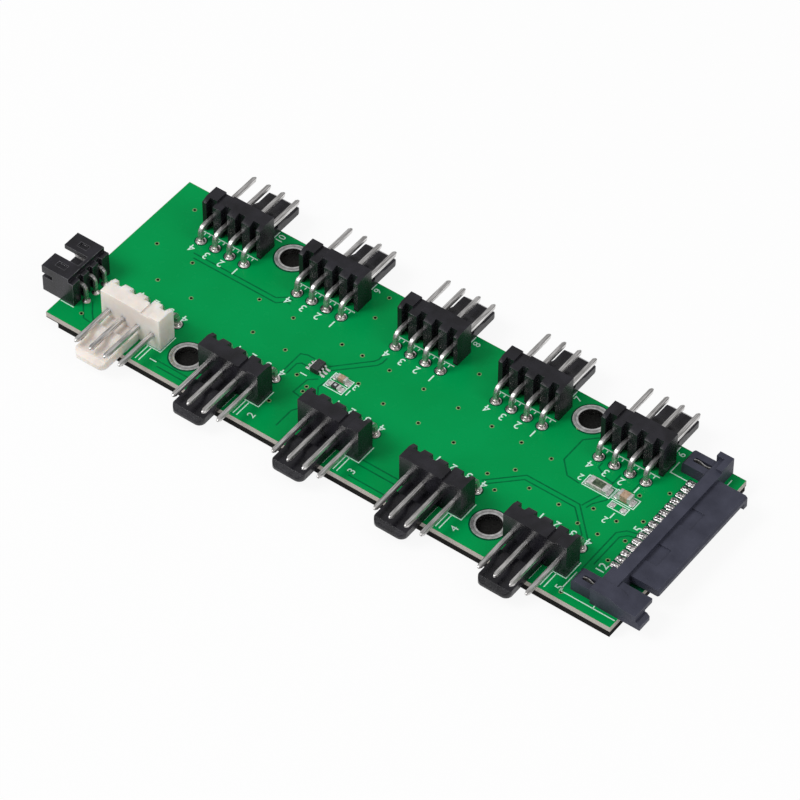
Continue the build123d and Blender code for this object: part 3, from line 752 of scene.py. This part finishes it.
# Each row across a foot: how far along it, half its width, and its height
bead_rows = [
    (-0.92, 0.24, 0.02),
    (-0.85, 0.40, 0.10),
    (-0.70, 0.50, 0.19),
    (-0.50, 0.52, 0.15),
    (-0.32, 0.56, 0.26),
    (-0.10, 0.52, 0.18),
    (0.15, 0.57, 0.30),
    (0.40, 0.53, 0.20),
    (0.65, 0.57, 0.34),
    (0.88, 0.50, 0.22),
    (1.05, 0.40, 0.10),
]
half_ridges = [(1.0, 0.0), (0.8, 0.55), (0.6, 0.72), (0.42, 0.35), (0.3, 0.75), (0.1, 1.0)]
bead_ridges = [(-share, rise) for share, rise in half_ridges] + half_ridges[::-1]
bead_tin, bead_shader = new_finish("foot_solder", (0.70, 0.67, 0.66), 0.3, 0.9)
bead_flow = noise(bead_tin, 0.28, 4)
bead_dark, bead_light = (0.10, 0.095, 0.095), (0.80, 0.78, 0.77)
bead_shade = shade_between(bead_tin, bead_flow, bead_dark, bead_light, 0.42, 0.62)
colour(bead_tin, bead_shader, bead_shade)
vary_roughness(bead_tin, bead_shader, bead_flow, 0.22, 0.4)
bump(bead_tin, bead_shader, bead_flow, 0.08)
beads = bmesh.new()
for k in range(contact_count):
    middle_y = contact_middle + (k - (contact_count - 1) / 2) * contact_pitch
    sections = []
    for along, half_width, height in bead_rows:
        swell = 1 + bead_swell * math.sin(2.1 * k + 4 * along)
        section = []
        for share, rise in bead_ridges:
            lean = 1 + bead_lean * math.sin(1.7 * k + 9 * along + 5 * share)
            across = middle_y + share * half_width * swell
            place = on_board(foot_x + along, across, rise * height * lean)
            section.append(beads.verts.new(place))
        sections.append(section)
    for near, far in zip(sections, sections[1:]):
        for i in range(len(bead_ridges) - 1):
            beads.faces.new((near[i], far[i], far[i + 1], near[i + 1])).smooth = True
built_piece("power_solder_beads", beads, bead_tin)
# Dark mask under the feet: mask without copper, and painted shade in the gaps between the feet.
strip_width = 1.9
strip_margin = 0.62
strip_shift = 0.05
strip_reach = (contact_count - 1) / 2 * contact_pitch + strip_margin
strip_x = foot_x + strip_shift
strip_line = [(strip_x, contact_middle - strip_reach), (strip_x, contact_middle + strip_reach)]
printed("foot_clearing_and_shade", [strip_line], strip_width, gap_lift, bare_mask_and_painted_shade)
# Painted shade: a dark strip of mask on the board in the mouth of the plug, between its arm and its
# blade.
mouth_width = 2.6
mouth_line = [(45.2, -9.6), (48.2, -9.6)]
printed("mouth_painted_shade", [mouth_line], mouth_width, gap_lift, bare_mask_and_painted_shade)

# Hold-down clips: tinned plates, stamped and pressed into a wave, so that they
# grip in the slots of the plug's ears. Their lower edges are soldered to the board.
clip_metal, clip_shader = new_finish("tinned_plate", (0.50, 0.49, 0.48), 0.36, 0.85)
clip_marks = noise(clip_metal, 0.3, 4)
clip_shade = shade_between(clip_metal, clip_marks, (0.18, 0.175, 0.17), (0.62, 0.61, 0.60))
colour(clip_metal, clip_shader, clip_shade)
bump(clip_metal, clip_shader, clip_marks, 0.01)
clip_thickness = 0.15
clip_wave = 0.13
clip_steps = 28
clip_low, clip_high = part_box("power_plug_clips")
plate_half = 0.125
clips = bmesh.new()
for middle in (clip_low.y + plate_half * mm, clip_high.y - plate_half * mm):
    sections = []
    for i in range(clip_steps + 1):
        share = i / clip_steps
        x = clip_low.x + share * (clip_high.x - clip_low.x)
        y = middle + clip_wave * mm * math.sin(2 * math.pi * share)
        left_y, right_y = y - clip_thickness / 2 * mm, y + clip_thickness / 2 * mm
        foot_corners = [(left_y, clip_low.z), (right_y, clip_low.z)]
        top_corners = [(right_y, clip_high.z), (left_y, clip_high.z)]
        sections.append([clips.verts.new((x, *corner)) for corner in foot_corners + top_corners])
    for near, far in zip(sections, sections[1:]):
        for i in range(4):
            j = (i + 1) % 4
            clips.faces.new((near[i], far[i], far[j], near[j]))
    clips.faces.new(sections[0])
    clips.faces.new(sections[-1])
bmesh.ops.recalc_face_normals(clips, faces=clips.faces)
wavy_clips = built_piece("wavy_clips", clips, clip_metal)
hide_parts("power_plug_clips")

# Six-leg chip: black epoxy pressed round a lead frame, with sloping sides and a
# matt top. The legs are tinned and soldered to small lands.
epoxy, epoxy_shader = new_finish("moulding_epoxy", (0.020, 0.020, 0.022), 0.55)
epoxy_grain = noise(epoxy, 0.18, 4)
epoxy_shade = shade_between(epoxy, epoxy_grain, (0.012, 0.012, 0.013), (0.036, 0.036, 0.040))
colour(epoxy, epoxy_shader, epoxy_shade)
bump(epoxy, epoxy_shader, epoxy_grain, 0.012)
soften(dress("chip_body", epoxy), 0.05)
leg_tin, leg_shader = new_finish("bright_tin", (0.88, 0.88, 0.87), 0.35, 0.5)
leg_marks = noise(leg_tin, 0.2)
leg_shade = shade_between(leg_tin, leg_marks, (0.76, 0.76, 0.75), (0.95, 0.95, 0.94))
colour(leg_tin, leg_shader, leg_shade)
dress("chip_legs", leg_tin)

# Copper lands of the surface-mounted parts, covered in solder: they show as
# bright patches beside the parts, and two of them carry no part.
land_lift = 0.03
land_edge = 0.07
land_rows = [(1.0, 0.0), (0.97, 0.6), (0.8, 0.95), (0.4, 1.0)]


def land(work, x, y, length, width):
    """A low pillow of solder over one copper land."""
    previous = None
    for share, rise in land_rows:
        corners = []
        for a, b in ((-1, -1), (1, -1), (1, 1), (-1, 1)):
            u, v = x + a * length / 2 * share, y + b * width / 2 * share
            corners.append(work.verts.new(on_board(u, v, land_lift + rise * land_edge)))
        if previous:
            for i in range(4):
                j = (i + 1) % 4
                work.faces.new((previous[i], previous[j], corners[j], corners[i])).smooth = True
        previous = corners
    work.faces.new(previous)


chip_x, chip_y = -9.72, -3.0
leg_pitch = 0.65
leg_land_x = 1.28
lands = bmesh.new()
for way in (-1, 1):
    for k in (-1, 0, 1):
        land(lands, chip_x + way * leg_land_x, chip_y + k * leg_pitch, 0.62, 0.36)
for x, y in ((36.47, 0.8), (38.2, 0.8)):
    land(lands, x, y, 0.85, 0.8)
for x, y in ((-6.85, -2.72), (-4.75, -2.72), (-6.9, -4.2), (-4.8, -4.2)):
    land(lands, x, y, 0.75, 0.95)
for x in (31.5, 34.8):
    land(lands, x, 2.4, 0.7, 1.5)
for x in (36.1, 38.5):
    land(lands, x, 2.6, 0.8, 1.3)
land_tin, land_shader = new_finish("land_solder", (0.80, 0.79, 0.78), 0.35, 0.75)
land_flow = noise(land_tin, 0.35, 4)
land_dark, land_light = (0.50, 0.48, 0.47), (0.93, 0.92, 0.91)
land_shade = shade_between(land_tin, land_flow, land_dark, land_light, 0.38, 0.6)
colour(land_tin, land_shader, land_shade)
bump(land_tin, land_shader, land_flow, 0.03)
built_piece("soldered_lands", lands, land_tin)

# Two capacitors: blocks of many thin layers of tan ceramic and metal, fired
# hard. Their two ends are dipped and tinned, and soldered to the lands.
ceramic, ceramic_shader = new_finish("capacitor_ceramic", (0.42, 0.29, 0.19), 0.5)
ceramic_grain = noise(ceramic, 0.3, 4)
ceramic_shade = shade_between(ceramic, ceramic_grain, (0.33, 0.22, 0.14), (0.52, 0.37, 0.26))
colour(ceramic, ceramic_shader, ceramic_shade)
bump(ceramic, ceramic_shader, ceramic_grain, 0.01)
soften(dress("small_capacitor_body", ceramic), 0.05)
soften(dress("large_capacitor_body", ceramic), 0.06)

# Resistor: a film on a chip of white alumina, under black glaze, with a paler
# square printed in the middle of its top.
patch_depth = 0.05


def patch_mask(finish, node, half_length, half_width):
    """1 on the middle of a part's top, within those distances of its centre."""
    low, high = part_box(node)
    axes = axes_of(finish, object_place(finish))
    inside = calculate(finish, "GREATER_THAN", axes["Z"], high.z - patch_depth * mm)
    along = ("X", (low.x + high.x) / 2, half_length)
    across = ("Y", (low.y + high.y) / 2, half_width)
    for axis, middle, limit in (along, across):
        offset = calculate(finish, "SUBTRACT", axes[axis], middle)
        distance = calculate(finish, "ABSOLUTE", offset, 0)
        within = calculate(finish, "LESS_THAN", distance, limit * mm)
        inside = calculate(finish, "MULTIPLY", inside, within)
    return inside


glaze, glaze_shader = new_finish("resistor_glaze", (0.03, 0.03, 0.033), 0.3)
glaze_grain = noise(glaze, 0.3)
glaze_dark = shade_between(glaze, glaze_grain, (0.018, 0.018, 0.020), (0.05, 0.05, 0.055))
glaze_pale = shade_between(glaze, glaze_grain, (0.35, 0.36, 0.36), (0.60, 0.60, 0.60))
pale_square = patch_mask(glaze, "resistor_body", 0.2, 0.2)
colour(glaze, glaze_shader, mixed(glaze, pale_square, glaze_dark, glaze_pale))
soften(dress("resistor_body", glaze), 0.03)

# Fuse: a flat strip of pale laminate with wide tinned ends and a dark green
# mark on the middle of its top.
fuse_skin, fuse_shader = new_finish("fuse_strip", (0.45, 0.44, 0.40), 0.5)
fuse_grain = noise(fuse_skin, 0.35, 4)
fuse_pale = shade_between(fuse_skin, fuse_grain, (0.34, 0.33, 0.29), (0.66, 0.64, 0.60))
fuse_dark = shade_between(fuse_skin, fuse_grain, (0.020, 0.045, 0.020), (0.085, 0.125, 0.070))
dark_patch = patch_mask(fuse_skin, "fuse_body", 0.85, 0.58)
colour(fuse_skin, fuse_shader, mixed(fuse_skin, dark_patch, fuse_pale, fuse_dark))
bump(fuse_skin, fuse_shader, fuse_grain, 0.01)
soften(dress("fuse_body", fuse_skin), 0.04)

# End caps of those four parts: dipped silver under dull tin plating. The solder
# of the lands wets them when the board goes through the oven.
cap_tin, cap_shader = new_finish("dull_tin", (0.74, 0.72, 0.70), 0.4, 0.7)
cap_marks = noise(cap_tin, 0.3, 4)
cap_shade = shade_between(cap_tin, cap_marks, (0.62, 0.60, 0.58), (0.84, 0.82, 0.80))
colour(cap_tin, cap_shader, cap_shade)
vary_roughness(cap_tin, cap_shader, cap_marks, 0.3, 0.5)
bump(cap_tin, cap_shader, cap_marks, 0.012)
soften(dress("end_caps", cap_tin), 0.05)

# Table, light and camera: a plain white table, a broad soft light from the
# front left and a weaker one from the right, and the camera high in front.
table_size = 3.0
table_top = -0.05 * mm
table_glow = 0.9
table = bpy.data.objects.new("table", bpy.data.meshes.new("table"))
bpy.context.collection.objects.link(table)
half = table_size / 2
table_edge = [(-half, -half), (half, -half), (half, half), (-half, half)]
table.data.from_pydata([(x, y, table_top) for x, y in table_edge], [], [(0, 1, 2, 3)])
table_white, table_shader = new_finish("table_white", (0.86, 0.86, 0.86), 0.9)
table_cloud = noise(table_white, 60)
table_shade = shade_between(table_white, table_cloud, (0.85, 0.85, 0.85), (0.87, 0.87, 0.87))
colour(table_white, table_shader, table_shade)
table_tree = table_white.node_tree
glow = table_tree.nodes.new("ShaderNodeEmission")
glow.inputs["Color"].default_value = (1, 1, 1, 1)
glow.inputs["Strength"].default_value = 1.0
ray = table_tree.nodes.new("ShaderNodeLightPath")
seen = calculate(table_white, "MAXIMUM", ray.outputs["Is Camera Ray"], ray.outputs["Is Glossy Ray"])
seen = calculate(table_white, "MAXIMUM", seen, ray.outputs["Is Transmission Ray"])
share = calculate(table_white, "MULTIPLY", seen, table_glow)
surface = table_tree.nodes.new("ShaderNodeMixShader")
table_tree.links.new(share, surface.inputs["Fac"])
table_tree.links.new(table_shader.outputs["BSDF"], surface.inputs[1])
table_tree.links.new(glow.outputs["Emission"], surface.inputs[2])
table_end = table_tree.nodes["Material Output"]
table_tree.links.new(surface.outputs["Shader"], table_end.inputs["Surface"])
table.data.materials.append(table_white)

world = bpy.data.worlds.new("room")
world.use_nodes = True
world.node_tree.nodes["Background"].inputs["Color"].default_value = (1, 1, 1, 1)
world.node_tree.nodes["Background"].inputs["Strength"].default_value = 0.5
bpy.context.scene.world = world


def soft_light(name, place, size, power):
    """A square soft box that faces the middle of the board."""
    lamp = bpy.data.lights.new(name, "AREA")
    lamp.shape = "SQUARE"
    lamp.size = size
    lamp.energy = power
    box = bpy.data.objects.new(name, lamp)
    box.location = place
    box.rotation_euler = Vector(place).to_track_quat("Z", "Y").to_euler()
    bpy.context.collection.objects.link(box)


soft_light("key_light", (-0.5, -0.5, 0.85), 0.5, 6.5)
soft_light("fill_light", (0.7, 0.1, 0.55), 0.5, 1.6)

camera = bpy.data.cameras.new("camera")
camera.sensor_width = 36
camera.lens = 205.9
viewer = bpy.data.objects.new("camera", camera)
viewer.location = (0.25234, -0.33810, 0.45682)
viewer.rotation_euler = (math.radians(42.695), math.radians(-0.123), math.radians(36.655))
bpy.context.collection.objects.link(viewer)
bpy.context.scene.camera = viewer
bpy.context.scene.view_settings.view_transform = "Standard"
